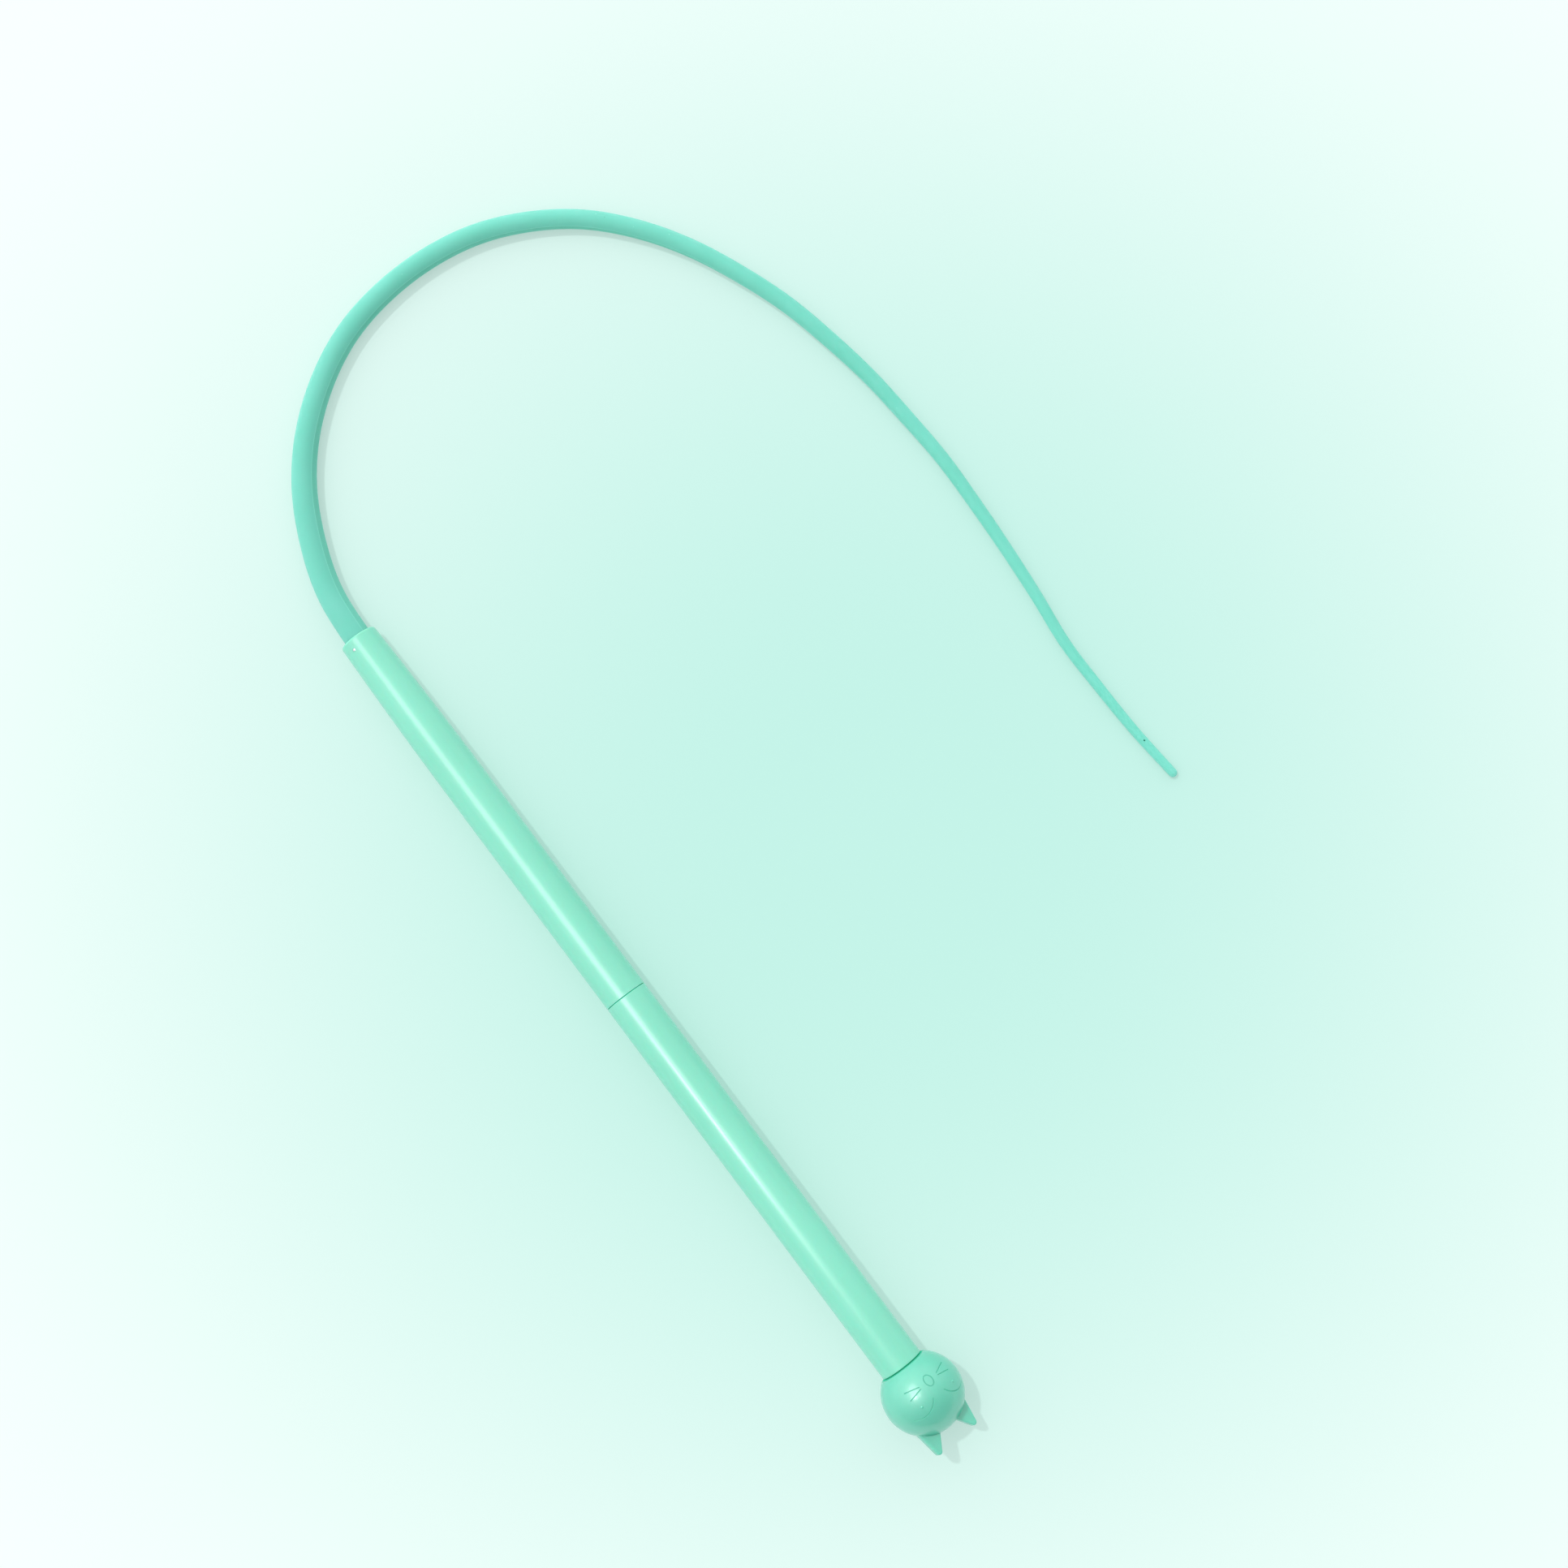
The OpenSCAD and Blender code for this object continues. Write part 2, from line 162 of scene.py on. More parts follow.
@dataclass(frozen=True)
class Specks:
    """Scattered round specks on a finish, and how they show.

    Attributes:
        cell: The width of the cells that hold one speck at most.
        radius: A speck's radius as a share of its cell.
        core: The share of that radius in which it is full.
        tint: How much of their colour shows.
        rough: How much more light they scatter.
    """

    cell: float
    radius: float
    core: float = 0.5
    tint: float = 0.0
    rough: float = 0.0


class Value:
    """A number that varies over a surface: a shader socket with Python's operators."""

    def __init__(self, recipe: Recipe, socket: bpy.types.NodeSocket) -> None:
        """Wraps an output socket of a recipe's node tree."""
        self.recipe = recipe
        self.socket = socket

    def _maths(self, operation: str, *values: Value | float) -> Value:
        """Adds one Math node.

        Args:
            operation: The node's operation.
            values: Its inputs in order.

        Returns:
            The node's result.
        """
        node = self.recipe.add(
            "ShaderNodeMath", {"operation": operation}, dict(enumerate(values))
        )
        return Value(self.recipe, node.outputs[0])

    def __add__(self, other: Value | float) -> Value:
        """Adds."""
        return self._maths("ADD", self, other)

    __radd__ = __add__

    def __sub__(self, other: Value | float) -> Value:
        """Subtracts."""
        return self._maths("SUBTRACT", self, other)

    def __rsub__(self, other: Value | float) -> Value:
        """Subtracts from a number."""
        return self._maths("SUBTRACT", other, self)

    def __mul__(self, other: Value | float) -> Value:
        """Multiplies."""
        return self._maths("MULTIPLY", self, other)

    __rmul__ = __mul__

    def __pow__(self, other: Value | float) -> Value:
        """Raises to a power."""
        return self._maths("POWER", self, other)

    def __rpow__(self, other: Value | float) -> Value:
        """Raises a number to it."""
        return self._maths("POWER", other, self)

    def distance(self) -> Value:
        """Takes the sign away."""
        return self._maths("ABSOLUTE", self)

    def rises(self, start: float, end: float) -> Value:
        """Gives 0 up to the start and 1 from the end on, with a smooth rise between.

        Args:
            start: Where the rise starts.
            end: Where it ends; a lower number than the start makes it fall.

        Returns:
            The share from 0 to 1.
        """
        node = self.recipe.add(
            "ShaderNodeMapRange",
            {"interpolation_type": "SMOOTHSTEP"},
            {"Value": self, "From Min": start, "From Max": end},
        )
        return Value(self.recipe, node.outputs["Result"])


class Recipe:
    """The node tree of one finish, or of the daylight."""

    def __init__(self, block: bpy.types.Material | bpy.types.World) -> None:
        """Starts an empty tree.

        Args:
            block: The material or the world that the tree belongs to.
        """
        self.block = block
        block.use_nodes = True
        self.tree = block.node_tree
        self.tree.nodes.clear()

    @classmethod
    def named(cls, name: str) -> Recipe:
        """Starts the tree of a new material with that name."""
        return cls(bpy.data.materials.new(name))

    def add(
        self,
        kind: str,
        settings: dict[str, Any] | None = None,
        sockets: dict[str | int, Any] | None = None,
    ) -> bpy.types.Node:
        """Adds any node.

        Args:
            kind: The node's type.
            settings: What is set on the node first.
            sockets: The values or links of its inputs, by name or number.

        Returns:
            The node.
        """
        node = self.tree.nodes.new(kind)
        for name, value in (settings or {}).items():
            setattr(node, name, value)
        for name, value in (sockets or {}).items():
            given = value.socket if isinstance(value, Value) else value
            if isinstance(given, bpy.types.NodeSocket):
                self.tree.links.new(given, node.inputs[name])
            elif isinstance(given, tuple) and len(node.inputs[name].default_value) == 4:
                node.inputs[name].default_value = (*given, 1.0)
            else:
                node.inputs[name].default_value = given
        return node

    def here(self) -> bpy.types.NodeSocket:
        """Gives each point's own place, in metres."""
        return self.add("ShaderNodeTexCoord").outputs["Object"]

    def around(self, map_name: str) -> Value:
        """Gives how far round the piece each point is, from 0 to 1, by the piece's own map.

        Args:
            map_name: The map's name.

        Returns:
            The map's first number.
        """
        place = self.add("ShaderNodeUVMap", {"uv_map": map_name}).outputs["UV"]
        node = self.add("ShaderNodeSeparateXYZ", None, {"Vector": place})
        return Value(self, node.outputs["X"])

    def towards(self, where: bpy.types.NodeSocket, way: Sequence[float]) -> Value:
        """Measures how far places lie along a direction.

        Args:
            where: The places, or directions.
            way: The direction.

        Returns:
            The distance along it from the origin.
        """
        node = self.add(
            "ShaderNodeVectorMath", {"operation": "DOT_PRODUCT"}, {0: where, 1: tuple(way)}
        )
        return Value(self, node.outputs["Value"])

    def away_from(self, where: bpy.types.NodeSocket, centre: Sequence[float]) -> Value:
        """Measures how far places lie from a point.

        Args:
            where: The places.
            centre: The point.

        Returns:
            The distance.
        """
        node = self.add(
            "ShaderNodeVectorMath", {"operation": "DISTANCE"}, {0: where, 1: tuple(centre)}
        )
        return Value(self, node.outputs["Value"])

    def turned(self, turn: Place, scale: Place) -> bpy.types.NodeSocket:
        """Gives each point's place in turned and stretched axes.

        Args:
            turn: Angles about X, Y and Z.
            scale: Factors along X, Y and Z.

        Returns:
            The turned places.
        """
        node = self.add(
            "ShaderNodeMapping", None, {"Vector": self.here(), "Rotation": turn, "Scale": scale}
        )
        return node.outputs["Vector"]

    def mottle(self, where: bpy.types.NodeSocket, mottle: Mottle) -> Value:
        """Adds a soft random pattern.

        Args:
            where: The places that it is read at.
            mottle: The pattern.

        Returns:
            A number around a half, or from 0 to 1 if the pattern has levels.
        """
        node = self.add(
            "ShaderNodeTexNoise",
            None,
            {
                "Vector": where,
                "Scale": 1 / mottle.width,
                "Detail": mottle.detail,
                "Roughness": mottle.fine,
            },
        )
        value = Value(self, node.outputs[0])
        return value.rises(*mottle.levels) if mottle.levels else value

    def specks(self, where: bpy.types.NodeSocket, specks: Specks) -> Value:
        """Adds scattered round specks.

        Args:
            where: The places that they are read at.
            specks: The specks.

        Returns:
            1 in a speck and 0 elsewhere.
        """
        node = self.add("ShaderNodeTexVoronoi", None, {"Vector": where, "Scale": 1 / specks.cell})
        away = Value(self, node.outputs["Distance"])
        return away.rises(specks.radius, specks.radius * specks.core)

    def blend(self, share: Value | float, first: Any, second: Any) -> bpy.types.NodeSocket:
        """Mixes two colours.

        Args:
            share: How much of the second is in it.
            first: A colour or a socket.
            second: A colour or a socket.

        Returns:
            The mixed colour.
        """
        node = self.add(
            "ShaderNodeMix", {"data_type": "RGBA"}, {0: share, 6: first, 7: second}
        )
        return node.outputs[2]

    def bump(
        self, height: Value, depth: float, below: bpy.types.NodeSocket | None = None
    ) -> bpy.types.NodeSocket:
        """Adds relief to the surface.

        Args:
            height: The relief, from 0 to 1.
            depth: The depth that 1 stands for.
            below: The relief that it lies on.

        Returns:
            The surface's new direction.
        """
        sockets: dict[str | int, Any] = {"Height": height, "Distance": depth}
        if below is not None:
            sockets["Normal"] = below
        return self.add("ShaderNodeBump", None, sockets).outputs["Normal"]

    def finish(self, sockets: dict[str | int, Any]) -> bpy.types.Material:
        """Ends the tree in its surface shader.

        Args:
            sockets: The shader's inputs.

        Returns:
            The material.
        """
        shader = self.add("ShaderNodeBsdfPrincipled", None, sockets)
        self.add("ShaderNodeOutputMaterial", None, {"Surface": shader.outputs[0]})
        return self.block


@dataclass(frozen=True)
class Finish:
    """What a surface is made of.

    Attributes:
        name: The finish's name.
        colour: Its main colour.
    """

    name: str
    colour: Colour


@dataclass(frozen=True)
class MouldedPlastic(Finish):
    """Injection-moulded plastic: an even colour with a little flow, polish and handling marks.

    Painted shade darkens the recesses of the piece, such as seams and engraved lines, and other spots
    where little light gets in. A painted glow in the seams stands in for the green light through the
    thin walls.

    Attributes:
        deep: The colour where the material is a little thicker.
        painted_shade_colour: The colour of the painted shade in the recesses.
        painted_glow: The painted glow in the seams, which stands in for the light that comes through
            the walls.
        rough: How much its body scatters light.
        gloss: How strongly its body mirrors, as an index of refraction.
        polish: How much the clear skin over the colour scatters light.
        way: The direction that the piece was drawn from its mould in.
        recess_rough: How much more the recesses scatter light.
        flow: Streaks along the flow of the plastic; its tint is their share in the unevenness.
        flow_stretch: The width of the streaks as a share of their length.
        cloud: Cloudy patches; its tint is their share in the unevenness.
        uneven: Levels of the unevenness at which the main colour and the deep one are reached.
        grain: The skin's fine grain.
        scuffs: Fine scuffs, where hands have dulled the skin.
        handled: Patches that hands have dulled.
    """

    deep: Colour
    painted_shade_colour: Colour
    painted_glow: Colour
    rough: float
    gloss: float
    polish: float
    way: Vector
    recess_rough: float = 0.5
    flow: Mottle = Mottle(width=0.006, detail=3.0, fine=0.55, tint=0.6)
    flow_stretch: float = 0.08
    cloud: Mottle = Mottle(width=0.03, tint=0.4)
    uneven: tuple[float, float] = (0.35, 0.65)
    grain: Mottle = Mottle(width=0.0011, depth=0.0000025)
    scuffs: Mottle = Mottle(width=0.0004, levels=(0.66, 0.74), rough=0.06)
    handled: Mottle = Mottle(width=0.018, detail=3.0, levels=(0.45, 0.68), rough=0.03)

    def make(self, painted_shade_masks: Callable[[Recipe], tuple[Value, Value]]) -> bpy.types.Material:
        """Builds the material.

        Args:
            painted_shade_masks: Gives the share of painted shade, 1 in the piece's recesses and 0
                elsewhere, and the share of painted glow in its seams.

        Returns:
            The material.
        """
        recipe = Recipe.named(self.name)
        place = recipe.here()
        lean = math.atan2(-self.way.z, self.way.x)
        drawn = recipe.turned((0, -lean, 0), (self.flow_stretch, 1, 1))
        flow = recipe.mottle(drawn, self.flow) * self.flow.tint
        cloud = recipe.mottle(place, self.cloud) * self.cloud.tint
        handled = recipe.mottle(place, self.handled)
        scuffs = recipe.mottle(drawn, self.scuffs) * handled
        grain = recipe.mottle(place, self.grain)
        painted_shade_share, seam = painted_shade_masks(recipe)
        colour = recipe.blend((flow + cloud).rises(*self.uneven), self.colour, self.deep)
        worn = handled * self.handled.rough + scuffs * self.scuffs.rough
        # Base Color takes the painted shade in the recesses, and Emission takes a painted glow in the
        # seams.
        return recipe.finish(
            {
                "Base Color": recipe.blend(painted_shade_share, colour, self.painted_shade_colour),
                "Roughness": self.rough + worn + painted_shade_share * self.recess_rough,
                "Normal": recipe.bump(grain, self.grain.depth),
                "IOR": self.gloss,
                "Emission Color": recipe.blend(seam, BLACK, self.painted_glow),
                "Emission Strength": 1.0,
                "Coat Weight": 1.0 - painted_shade_share,
                "Coat Roughness": self.polish,
                "Coat IOR": 1.5,
                "Subsurface Weight": 0.5,
                "Subsurface Radius": (0.2, 1.0, 0.7),
                "Subsurface Scale": 0.002,
            }
        )


@dataclass(frozen=True)
class SatinPlastic(Finish):
    """Unpolished moulded plastic, for pieces that stay inside.

    Where a seam bares it, a little painted glow stands in for the light that the tubes' walls let
    through.

    Attributes:
        painted_glow: The painted glow, which stands in for the light that comes through the walls.
        way: The direction of the handle's axis.
        seam_x: Where the seam is along that axis.
        seam_w: How wide it is.
        seam_fade: Share of that width over which the painted glow fades at each side of the seam.
        deep_shares: Shares of the main colour's parts that the cloudy patches have.
        rough: How much it scatters light.
        cloud: Cloudy patches in the colour.
        grain: The skin's grain.
    """

    painted_glow: Colour
    way: Vector
    seam_x: float
    seam_w: float
    seam_fade: float = 0.2
    deep_shares: Colour = (0.8, 0.86, 0.84)
    rough: float = 0.42
    cloud: Mottle = Mottle(width=0.004, detail=3.0, levels=(0.35, 0.7))
    grain: Mottle = Mottle(width=0.0004, rough=0.12, depth=0.000006)

    def make(self) -> bpy.types.Material:
        """Builds the material.

        Returns:
            The material.
        """
        recipe = Recipe.named(self.name)
        place = recipe.here()
        cloud = recipe.mottle(place, self.cloud)
        grain = recipe.mottle(place, self.grain)
        deep = tuple(part * share for part, share in zip(self.colour, self.deep_shares))
        # Where the seam bares the piece, it gets a painted glow.
        off = (recipe.towards(place, self.way) - self.seam_x).distance()
        bare = off.rises(self.seam_w * (0.5 + self.seam_fade), self.seam_w * 0.5)
        return recipe.finish(
            {
                "Base Color": recipe.blend(cloud, self.colour, deep),
                "Roughness": self.rough + grain * self.grain.rough,
                "IOR": 1.4,
                "Normal": recipe.bump(grain, self.grain.depth),
                "Emission Color": recipe.blend(bare, BLACK, self.painted_glow),
                "Emission Strength": 1.0,
            }
        )


@dataclass(frozen=True)
class Silicone(Finish):
    """Matte silicone, moulded in two halves that meet on a fine line.

    The piece's own map runs round it from that line and along it. The main colour is that of the
    half that faces up; the half from the line round the curve's inside and underneath has painted
    shade.

    Attributes:
        map_name: The name of that map.
        deep: The colour of the painted shade on the other half, and of the cloudy patches.
        line: The colour on the moulding line.
        dust: The colour of the lint that silicone holds.
        dark: The colour of grit, and of the vent's mark.
        vent: Where the mould's vent left its small round mark.
        vent_r: The radius of that mark.
        rough: How much it scatters light.
        vent_h: How deep the vent's mark is.
        vent_edge: Where that mark starts and where it is full, as shares of its radius.
        shaded_half_tint: How much of the painted shade's colour the other half shows.
        half_fade: Share of the way round over which that painted shade fades in.
        line_w: How far to each side the line's colour reaches, as a share of the way round.
        line_core: How far to each side it is full.
        line_tint: How much of that colour shows.
        line_polish: How much less the line scatters light.
        cloud: Cloudy patches of the other half's colour.
        skin: The skin's finest grain.
        pores: Pores in the skin.
        lint: Specks of lint.
        linty: The patches that hold lint.
        grit: Specks of grit.
        grit_turn: How the grit's cells are turned, so that they don't line up with the lint's.
    """

    map_name: str
    deep: Colour
    line: Colour
    dust: Colour
    dark: Colour
    vent: Place
    vent_r: float
    rough: float
    vent_h: float = 0.00008
    vent_edge: tuple[float, float] = (1.2, 0.7)
    shaded_half_tint: float = 0.8
    half_fade: float = 0.004
    line_w: float = 0.012
    line_core: float = 0.002
    line_tint: float = 0.7
    line_polish: float = 0.1
    cloud: Mottle = Mottle(width=0.012, detail=3.0, levels=(0.3, 0.7), tint=0.35)
    skin: Mottle = Mottle(width=0.00035, depth=0.000004)
    pores: Mottle = Mottle(width=0.0016, detail=3.0, rough=0.08, depth=0.000012)
    lint: Specks = Specks(cell=0.0042, radius=0.045, tint=0.6, rough=0.1)
    linty: Mottle = Mottle(width=0.02, levels=(0.48, 0.56))
    grit: Specks = Specks(cell=0.031, radius=0.007, tint=0.6)
    grit_turn: Place = (0.7, 0.4, 0.2)

    def make(self) -> bpy.types.Material:
        """Builds the material.

        Returns:
            The material.
        """
        recipe = Recipe.named(self.name)
        place = recipe.here()
        edge, core = (self.vent_r * share for share in self.vent_edge)
        mark = recipe.away_from(place, self.vent).rises(edge, core)
        turn = recipe.around(self.map_name)
        # Painted shade on the half turned away from the light, from the moulding line round the
        # curve's inside.
        other = turn.rises(0.0, self.half_fade) * turn.rises(0.5, 0.5 - self.half_fade)
        from_line = 0.5 - (turn - 0.5).distance()
        on_line = from_line.rises(self.line_w, self.line_core)
        cloud = recipe.mottle(place, self.cloud)
        skin = recipe.mottle(place, self.skin)
        pores = recipe.mottle(place, self.pores)
        lint = recipe.specks(place, self.lint) * recipe.mottle(place, self.linty)
        grit = recipe.specks(recipe.turned(self.grit_turn, (1, 1, 1)), self.grit)
        colour = recipe.blend(cloud * self.cloud.tint, self.colour, self.deep)
        colour = recipe.blend(other * self.shaded_half_tint, colour, self.deep)
        colour = recipe.blend(on_line * self.line_tint, colour, self.line)
        colour = recipe.blend(lint * self.lint.tint, colour, self.dust)
        colour = recipe.blend(grit * self.grit.tint + mark, colour, self.dark)
        rough = self.rough + pores * self.pores.rough + lint * self.lint.rough
        normal = recipe.bump(1.0 - mark, self.vent_h)
        normal = recipe.bump(skin, self.skin.depth, normal)
        normal = recipe.bump(pores, self.pores.depth, normal)
        return recipe.finish(
            {
                "Base Color": colour,
                "Roughness": rough - on_line * self.line_polish,
                "Normal": normal,
                "Subsurface Weight": 1.0,
                "Subsurface Radius": (0.8, 1.0, 0.95),
                "Subsurface Scale": 0.007,
                "Sheen Weight": 0.05,
                "Sheen Roughness": 0.5,
                "Specular IOR Level": 0.2,
                "IOR": 1.41,
            }
        )


@dataclass(frozen=True)
class DrawnSteel(Finish):
    """Bright drawn wire.

    Attributes:
        rough: How much it scatters light.
        drawn: The marks of drawing.
    """

    rough: float = 0.24
    drawn: Mottle = Mottle(width=0.00012, rough=0.12, depth=0.0000015)

    def make(self) -> bpy.types.Material:
        """Builds the material.

        Returns:
            The material.
        """
        recipe = Recipe.named(self.name)
        drawn = recipe.mottle(recipe.here(), self.drawn)
        return recipe.finish(
            {
                "Base Color": self.colour,
                "Metallic": 1.0,
                "Roughness": self.rough + drawn * self.drawn.rough,
                "Normal": recipe.bump(drawn, self.drawn.depth),
            }
        )


@dataclass(frozen=True)
class Backdrop(Finish):
    """Plain pale floor that glows a little with painted light and is painted paler away from its
    middle.

    Attributes:
        pale: Its colour far out.
        middle: Where its middle is.
        painted_glow_share: How much of its light is its own painted glow, which softens the shadows.
        even_r: Distance from the middle up to which it keeps its main colour.
        pale_r: Distance from the middle where it is palest.
    """

    pale: Colour
    middle: Place
    painted_glow_share: float
    even_r: float = 0.03
    pale_r: float = 0.42

    def make(self) -> bpy.types.Material:
        """Builds the material.

        Returns:
            The material.
        """
        recipe = Recipe.named(self.name)
        # Painted light: the floor is paler away from its middle and glows with its own light.
        paler = recipe.away_from(recipe.here(), self.middle).rises(self.even_r, self.pale_r)
        tones = (self.colour, self.pale)
        lit = [tuple(part * (1 - self.painted_glow_share) for part in tone) for tone in tones]
        return recipe.finish(
            {
                "Base Color": recipe.blend(paler, *lit),
                "Roughness": 0.85,
                "IOR": 1.3,
                "Emission Color": recipe.blend(paler, *tones),
                "Emission Strength": self.painted_glow_share,
            }
        )


@dataclass(frozen=True)
class Layout:
    """Sizes that the pieces share, and where the pieces lie along the wand's axis.

    Attributes:
        tube_d: Outer diameter of both tubes.
        lower_len: Length of the lower tube.
        upper_len: Length of the upper tube.
        seam_gap: Gap between the tubes.
        nose_len: Length over which the upper tube narrows.
        mouth_d: Outer diameter at the mouth.
        neck_gap: Gap at the neck.
        neck_ledge: How far the ball's flat stands out past the tube.
        head_d: Diameter of the ball.
    """

    tube_d: float = 0.0146
    lower_len: float = 0.145
    upper_len: float = 0.145
    seam_gap: float = 0.0002
    nose_len: float = 0.060
    mouth_d: float = 0.0128
    neck_gap: float = 0.0004
    neck_ledge: float = 0.0009
    head_d: float = 0.0266

    @property
    def mouth_x(self) -> float:
        """Place of the mouth."""
        return self.lower_len / 2 + self.seam_gap + self.upper_len

    @property
    def cut_x(self) -> float:
        """Where the ball is cut off flat, from its centre."""
        return math.sqrt(self.head_d**2 - (self.tube_d + 2 * self.neck_ledge) ** 2) / 2

    @property
    def head_x(self) -> float:
        """Place of the ball's centre."""
        return -self.lower_len / 2 - self.neck_gap - self.cut_x

    @property
    def lean(self) -> float:
        """The angle that the handle leans by, on the ball and on the mouth's rim."""
        return math.asin((self.head_d - self.mouth_d) / 2 / (self.mouth_x - self.head_x))

    @property
    def floor_z(self) -> float:
        """Height of the floor."""
        return -self.head_x * math.sin(self.lean) - self.head_d / 2

    @property
    def way(self) -> Vector:
        """The direction of the axis, as the handle lies."""
        return self.laid() @ Vector((1, 0, 0))

    def laid(self) -> Matrix:
        """Gives the turn from the handle's own axes to the way that it lies."""
        return Matrix.Rotation(self.lean, 4, "Y")

    def on_axis(self, x: float) -> Vector:
        """Gives a place on the axis, as the handle lies."""
        return self.laid() @ Vector((x, 0, 0))

    def nose_r(self, inset: float) -> float:
        """Gives the nose's radius at a distance from the mouth."""
        share = 1 - inset / self.nose_len
        return self.tube_d / 2 - (self.tube_d - self.mouth_d) / 2 * share**2


@dataclass
class Tubes:
    """The handle's two tubes and the sleeve inside their joint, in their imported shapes.

    Attributes:
        layout: Where they lie.
        shade_from: Depth below the skin where the shade in the seams starts.
        shade_to: Depth where it is full.
        shade_reach: How far it reaches along the tubes from the middle of a seam.
        shade_core: Share of that reach in which it is full.
    """

    layout: Layout
    shade_from: float = 0.0001
    shade_to: float = 0.0003
    shade_reach: float = 0.0007
    shade_core: float = 0.6

    def seams(self, recipe: Recipe) -> tuple[Value, Value]:
        """Marks where shade and glow are painted: inside the seams between the tubes and at the neck.

        Args:
            recipe: The finish that it is for.

        Returns:
            1 inside a seam and 0 elsewhere, as the painted shade and again as the painted glow.
        """
        lay, place = self.layout, recipe.here()
        skin = lay.tube_d / 2
        along = recipe.towards(place, lay.way)
        aside = recipe.away_from(place, (0, 0, 0)) ** 2 - along**2
        inside = aside.rises((skin - self.shade_from) ** 2, (skin - self.shade_to) ** 2)
        middle = (along - (lay.lower_len + lay.seam_gap) / 2).distance()
        neck = (along + (lay.lower_len + lay.neck_gap) / 2).distance()
        start, full = self.shade_reach, self.shade_reach * self.shade_core
        seam = inside * (middle.rises(start, full) + neck.rises(start, full))
        return seam, seam

    def dress(self) -> None:
        """Gives both tubes and the sleeve their finishes."""
        lay = self.layout
        plastic = MouldedPlastic(
            name="mint tube plastic",
            colour=(0.215, 0.69, 0.52),
            deep=(0.195, 0.66, 0.49),
            painted_shade_colour=(0.05, 0.55, 0.38),
            painted_glow=(0.0, 0.06, 0.035),
            rough=0.5,
            gloss=1.6,
            polish=0.24,
            way=lay.way,
        ).make(self.seams)
        dress(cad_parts["lower_tube"], plastic, Body.LOWER)
        dress(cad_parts["upper_tube"], plastic, Body.FRONT)
        sleeve = SatinPlastic(
            name="satin sleeve plastic",
            colour=(0.06, 0.5, 0.32),
            painted_glow=(0.0, 0.36, 0.22),
            way=lay.way,
            seam_x=(lay.lower_len + lay.seam_gap) / 2,
            seam_w=lay.seam_gap,
        )
        dress(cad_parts["joint_sleeve"], sleeve.make(), Body.LOWER)


@dataclass
class Head:
    """The cat's head of two shells and the plug that they close around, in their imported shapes.

    Attributes:
        layout: Where it lies.
        line_from: Depth below the ball's skin where the shade in the engraved lines starts.
        line_to: Depth where it is full.
        line_shade: How deep that shade is, as a share.
        neck_from: Depth below the ball's skin where the shade at the neck starts.
        neck_to: Depth where it is full.
        neck_shade: How deep that shade is, as a share.
        ear_turn: Angle from the ball's far end to the middle of an ear's root.
        ear_lifts: How far up about the handle the shade beside an ear is turned, -Y ear first.
        ear_shade_w: Width of that shade.
        ear_shade_h: How far up and down the ball it reaches from its middle.
        ear_shade_core: Share of its width in which it is full.
        ear_shade: How deep it is, as a share.
    """

    layout: Layout
    line_from: float = 0.00004
    line_to: float = 0.00013
    line_shade: float = 0.42
    neck_from: float = 0.000234
    neck_to: float = 0.000312
    neck_shade: float = 0.58
    ear_turn: float = math.radians(29)
    ear_lifts: tuple[float, float] = (math.radians(14), math.radians(23))
    ear_shade_w: float = 0.0068
    ear_shade_h: float = 0.0056
    ear_shade_core: float = 0.4
    ear_shade: float = 0.75

    def painted_shade_masks(self, recipe: Recipe) -> tuple[Value, Value]:
        """Marks where shade is painted, where little light gets in: the engraved lines, the neck and
        beside the ears.

        Args:
            recipe: The finish that it is for.

        Returns:
            The painted shade's share, 1 where it is darkest and 0 on the open skin, and the painted
            glow's share, at the neck alone.
        """
        lay, place = self.layout, recipe.here()
        skin = lay.head_d / 2
        centre = lay.on_axis(lay.head_x)
        away = recipe.away_from(place, centre)
        lines = away.rises(skin - self.line_from, skin - self.line_to)
        neck = away.rises(skin - self.neck_from, skin - self.neck_to)
        on_ball = away.rises(skin + self.line_to, skin + self.line_from)
        # Painted shade on the ball beside each ear's root.
        half = self.ear_shade_w / 2
        dark = lines * self.line_shade + neck * self.neck_shade
        for side, lift in zip((-1, 1), self.ear_lifts):
            turned = lay.laid() @ Matrix.Rotation(lift * side, 4, "X")
            upright = turned @ Vector((0, 0, 1))
            way = Vector((-math.cos(self.ear_turn), side * math.sin(self.ear_turn), 0))
            middle = centre + (turned @ way) * skin
            rise = recipe.towards(place, upright) - centre.dot(upright)
            squash = rise**2 * (1 - (half / self.ear_shade_h) ** 2)
            near = recipe.away_from(place, middle) ** 2 - squash
            beside = near.rises(half**2, (half * self.ear_shade_core) ** 2) * on_ball
            dark = dark + beside * self.ear_shade
        return dark, neck

    def dress(self) -> None:
        """Gives both shells and the plug their finishes."""
        lay = self.layout
        plastic = MouldedPlastic(
            name="mint head plastic",
            colour=(0.105, 0.575, 0.42),
            deep=(0.095, 0.55, 0.4),
            painted_shade_colour=(0.0, 0.42, 0.26),
            painted_glow=(0.0, 0.13, 0.075),
            rough=0.5,
            gloss=1.9,
            polish=0.2,
            way=lay.way,
        ).make(self.painted_shade_masks)
        for name in ("head_front", "head_back"):
            dress(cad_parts[name], plastic, Body.HEAD)
        plug = SatinPlastic(
            name="satin plug plastic",
            colour=(0.06, 0.5, 0.32),
            painted_glow=(0.0, 0.09, 0.05),
            way=lay.way,
            seam_x=-(lay.lower_len + lay.neck_gap) / 2,
            seam_w=lay.neck_gap,
        )
        dress(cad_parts["neck_plug"], plug.make(), Body.HEAD)


